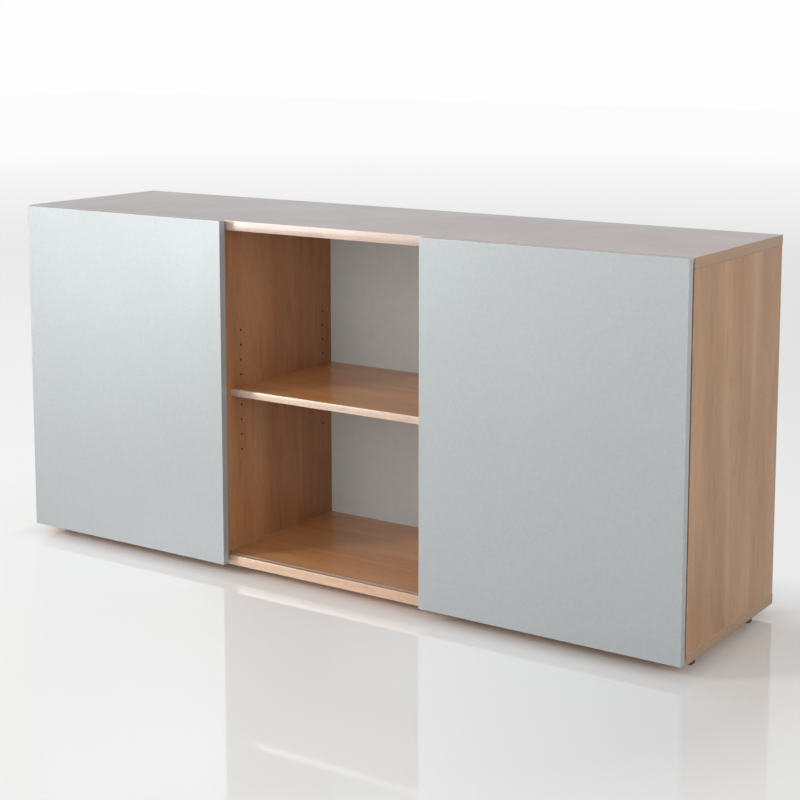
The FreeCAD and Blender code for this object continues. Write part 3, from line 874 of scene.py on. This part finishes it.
def panHeadScrew(shape):
    # the head looks along +Y and its seat is at the origin
    head = startAt(
        bpy.ops.mesh.primitive_cylinder_add,
        vertices=40,
        radius=shape["radius"],
        depth=shape["head"],
        rotation=(math.radians(90), 0, 0),
        location=(0, shape["head"] / 2, 0),
    )
    pickEdges(head, lambda co: co.y > shape["head"] * 0.9)
    bpy.ops.mesh.bevel(offset=shape["dome"], segments=6)
    bars = []
    taper = shape["slotTaper"]
    for angle in (0, 90):
        bar = startAt(
            bpy.ops.mesh.primitive_cube_add,
            size=1,
            scale=(shape["slotLong"], shape["slotDeep"] * 2, shape["slotWide"]),
            rotation=(0, math.radians(angle), 0),
            location=(0, shape["head"], 0),
        )
        pickFaces(bar, lambda middle, normal: normal.y < -0.9)
        bpy.ops.transform.resize(value=(taper, 1, taper), center_override=(0, shape["head"], 0))
        bpy.ops.object.mode_set(mode="OBJECT")
        bars.append(bar)
    for bar in bars:
        applyModifier(head, "BOOLEAN", operation="DIFFERENCE", object=bar)
        bpy.data.objects.remove(bar)
    closePiece(head, "screwPattern", 30)
    return head


pattern = panHeadScrew(screw)
count = 0
for side in ("left", "right"):
    door = side + "_door"
    for end in ("left", "right"):
        low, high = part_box(door + "_" + end + "_roller")
        middle = (low[0] + high[0]) / 2
        for part in ("carriages", "guides"):
            low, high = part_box(door + "_" + part)
            level = high[2] - screw["fromEnd"] if part == "carriages" else low[2] + screw["fromEnd"]
            for way in (-0.5, 0.5):
                spot = (middle + way * screw["apart"][part], low[1] + screw["seat"], level)
                turned = Matrix.Rotation(math.radians(37 * count), 4, "Y")
                piece = copyTo(pattern, "screw_%02d" % count, Matrix.Translation(spot) @ turned)
                settle(piece, door, finishes["zincSteel"])
                count += 1
bpy.data.objects.remove(pattern)
print("screws modelled:", count)

# floor, world and lamps
studio = {
    "floorSize": 40.0,
    "floorColoursShadedRight": ((0.965, 0.965, 0.955), (0.87, 0.87, 0.86)),  # to the left and to the right; the deeper right is painted shade
    "floorTurn": (0.05, 0.45),  # where the one turns into the other, metres across the view
    "floorRoughness": 0.05,
    "floorIor": 1.50,
    "viewTurn": 34.0,  # degrees, as the camera
    "paintedLiftReach": (-1.2, 1.4),  # metres along the object's width, where the painted light says how far the floor glows white over the object's shadow
    "paintedLift": [(0.0, 1.0), (0.135, 0.8), (0.23, 0.42), (0.346, 0.29), (0.827, 0.07), (0.96, 0.9)],
    "sweep": (0.95, 1.5),  # where the floor turns into the pale sweep, metres from the middle
    "behind": (0.10, 0.45),  # and behind the object, as painted light over its shadow there
    "shadowEdge": (-0.03, 0.05),  # out from the edge of the object
    "paintedSweepTones": [  # painted light and shade of the sweep with distance, 1.0 being the edge of the floor
        (0.0, 0.87),
        (0.07, 0.86),
        (0.12, 0.82),
        (0.20, 0.80),
        (0.28, 0.80),
        (0.40, 0.87),
        (0.62, 0.965),
    ],
    "paintedSideLight": 0.06,  # painted light: the sweep is a little paler to the left
    "sidesReach": 1.2,  # metres across the view, either way
    "sidesFade": (3.0, 7.0),  # metres from the middle
    "backdrop": 0.985,
    "ambient": 0.35,
}
lamps = {
    "keySoftbox": {"place": (-2.45, -3.0, 0.95), "aim": (0.0, -0.2, 0.45), "size": (0.8, 1.3), "power": 22.5},
    "keyHigh": {"place": (-2.45, -2.9, 2.0), "aim": (0.0, -0.2, 0.45), "size": (1.0, 1.0), "power": 60.0},
    "keyLow": {"place": (-2.9, -3.0, 0.3), "aim": (-0.3, -0.2, 0.75), "size": (0.8, 0.5), "power": 9.0},
    "rightFill": {"place": (4.2, -1.3, 1.5), "aim": (0.6, -0.2, 0.35), "size": (3.2, 2.8), "power": 71.0},
    "frontFill": {"place": (0.6, -4.2, 1.3), "aim": (0.0, 0.0, 0.35), "size": (3.4, 2.2), "power": 26.5},
    "frontHigh": {"place": (-0.6, -3.6, 2.6), "aim": (-0.3, -0.2, 0.45), "size": (1.6, 1.2), "power": 14.5},
}


def seenRays(tree, at):
    # 1 for rays from the camera, straight, mirrored or through something clear, and 0 for the light's own
    path = addNode(tree, "ShaderNodeLightPath", at)
    mirrored = maths(tree, "MAXIMUM", path.outputs["Is Camera Ray"], path.outputs["Is Glossy Ray"])
    return maths(tree, "MAXIMUM", mirrored, path.outputs["Is Transmission Ray"])


def paperShare(tree, room, parted, away):
    # how far the floor glows as the pale sweep: with distance, and as painted light over the object's shadow
    # behind it and along its width
    x, y = parted.outputs[0], parted.outputs[1]
    far = spread(tree, away, *room["sweep"], 0, 1, (-650, 400))
    behind = spread(tree, y, *room["behind"], 0, 1, (-650, 250))
    # painted light: a white glow over the object's shadow, along its width
    along = spread(tree, x, *room["paintedLiftReach"], 0, 1, (-850, 650))
    paintedLift = ramp(tree, along, room["paintedLift"], (-650, 650))
    paper = maths(tree, "MAXIMUM", far, maths(tree, "MAXIMUM", paintedLift, behind), (-350, 500))
    # but not under the object, where it stays in shadow
    besideX = maths(tree, "SUBTRACT", maths(tree, "ABSOLUTE", x, 0), cadBox[1][0])
    besideY = maths(tree, "SUBTRACT", maths(tree, "ABSOLUTE", y, 0), cadBox[1][1])
    beside = maths(tree, "MAXIMUM", besideX, besideY, (-500, 800))
    uncovered = spread(tree, beside, *room["shadowEdge"], 0, 1, (-400, 800))
    return maths(tree, "MULTIPLY", paper, uncovered, (-200, 500))


def makeFloor(room):
    bpy.ops.object.select_all(action="DESELECT")
    bpy.ops.mesh.primitive_plane_add(size=room["floorSize"], location=(0, 0, 0))
    floor = bpy.context.object
    floor.name = "studioFloor"
    material, tree, shader, place = newMaterial("studioFloor")
    shader.inputs["Roughness"].default_value = room["floorRoughness"]
    shader.inputs["IOR"].default_value = room["floorIor"]
    parted = addNode(tree, "ShaderNodeSeparateXYZ", (-1100, 650))
    turn = (0, 0, math.radians(-room["viewTurn"]))
    turned = addNode(tree, "ShaderNodeMapping", (-1100, 900), {"Rotation": turn})
    sideways = addNode(tree, "ShaderNodeSeparateXYZ", (-900, 900))
    distance = addNode(tree, "ShaderNodeVectorMath", (-900, 400), operation="LENGTH")
    connect(
        tree,
        (place, parted.inputs[0]),
        (place, turned.inputs["Vector"]),
        (turned.outputs[0], sideways.inputs[0]),
        (place, distance.inputs[0]),
    )
    across, away = sideways.outputs[0], distance.outputs["Value"]
    # painted shade: the floor deepens to the right
    paintedShadeRightwards = spread(tree, across, *room["floorTurn"], 0, 1, (300, 700))
    colour = mixColours(tree, paintedShadeRightwards, *room["floorColoursShadedRight"], (450, 600))
    paper = paperShare(tree, room, parted, away)
    share = maths(tree, "MULTIPLY", paper, seenRays(tree, (-650, 1000)), (100, 600))
    reach = maths(tree, "DIVIDE", away, room["floorSize"] / 2, (-350, 200), clamp=True)
    # the sweep's painted light and shade: its tones with distance, and paler to the left
    tone = ramp(tree, reach, room["paintedSweepTones"], (100, 300))
    wide, paintedSideLight = room["sidesReach"], room["paintedSideLight"]
    tilt = spread(tree, across, -wide, wide, paintedSideLight, -paintedSideLight, (-100, 100))
    fade = spread(tree, away, *room["sidesFade"], 1, 0, (-100, -50))
    side = maths(tree, "ADD", 1.0, maths(tree, "MULTIPLY", tilt, fade, (100, 50)), (250, 50))
    white = addNode(tree, "ShaderNodeEmission", (600, 300))
    mixed = addNode(tree, "ShaderNodeMixShader", (800, 200))
    output = next(n for n in tree.nodes if n.type == "OUTPUT_MATERIAL")
    output.location = (1000, 0)
    connect(
        tree,
        (colour, shader.inputs["Base Color"]),
        (tone, white.inputs["Color"]),
        (side, white.inputs["Strength"]),
        (share, mixed.inputs[0]),
        (shader.outputs[0], mixed.inputs[1]),
        (white.outputs[0], mixed.inputs[2]),
        (mixed.outputs[0], output.inputs[0]),
    )
    floor.data.materials.append(material)


def makeWorld(room):
    world = bpy.data.worlds.new("studio")
    world.use_nodes = True
    scene.world = world
    tree = world.node_tree
    tree.nodes.clear()
    white = (1, 1, 1, 1)
    ambient = addNode(
        tree, "ShaderNodeBackground", (100, 0), {"Color": white, "Strength": room["ambient"]}
    )
    backdrop = addNode(
        tree, "ShaderNodeBackground", (100, -200), {"Color": white, "Strength": room["backdrop"]}
    )
    mixed = addNode(tree, "ShaderNodeMixShader", (350, 0))
    output = addNode(tree, "ShaderNodeOutputWorld", (600, 0))
    connect(
        tree,
        (seenRays(tree, (-600, 200)), mixed.inputs[0]),
        (ambient.outputs[0], mixed.inputs[1]),
        (backdrop.outputs[0], mixed.inputs[2]),
        (mixed.outputs[0], output.inputs[0]),
    )


def makeLamp(name, lamp):
    data = bpy.data.lights.new(name, "AREA")
    data.shape = "RECTANGLE"
    data.size, data.size_y = lamp["size"]
    data.energy = lamp["power"]
    obj = bpy.data.objects.new(name, data)
    obj.location = lamp["place"]
    obj.rotation_euler = (Vector(lamp["aim"]) - obj.location).to_track_quat("-Z", "Y").to_euler()
    scene.collection.objects.link(obj)


makeFloor(studio)
makeWorld(studio)
for name, lamp in lamps.items():
    makeLamp(name, lamp)
print("studio lit")
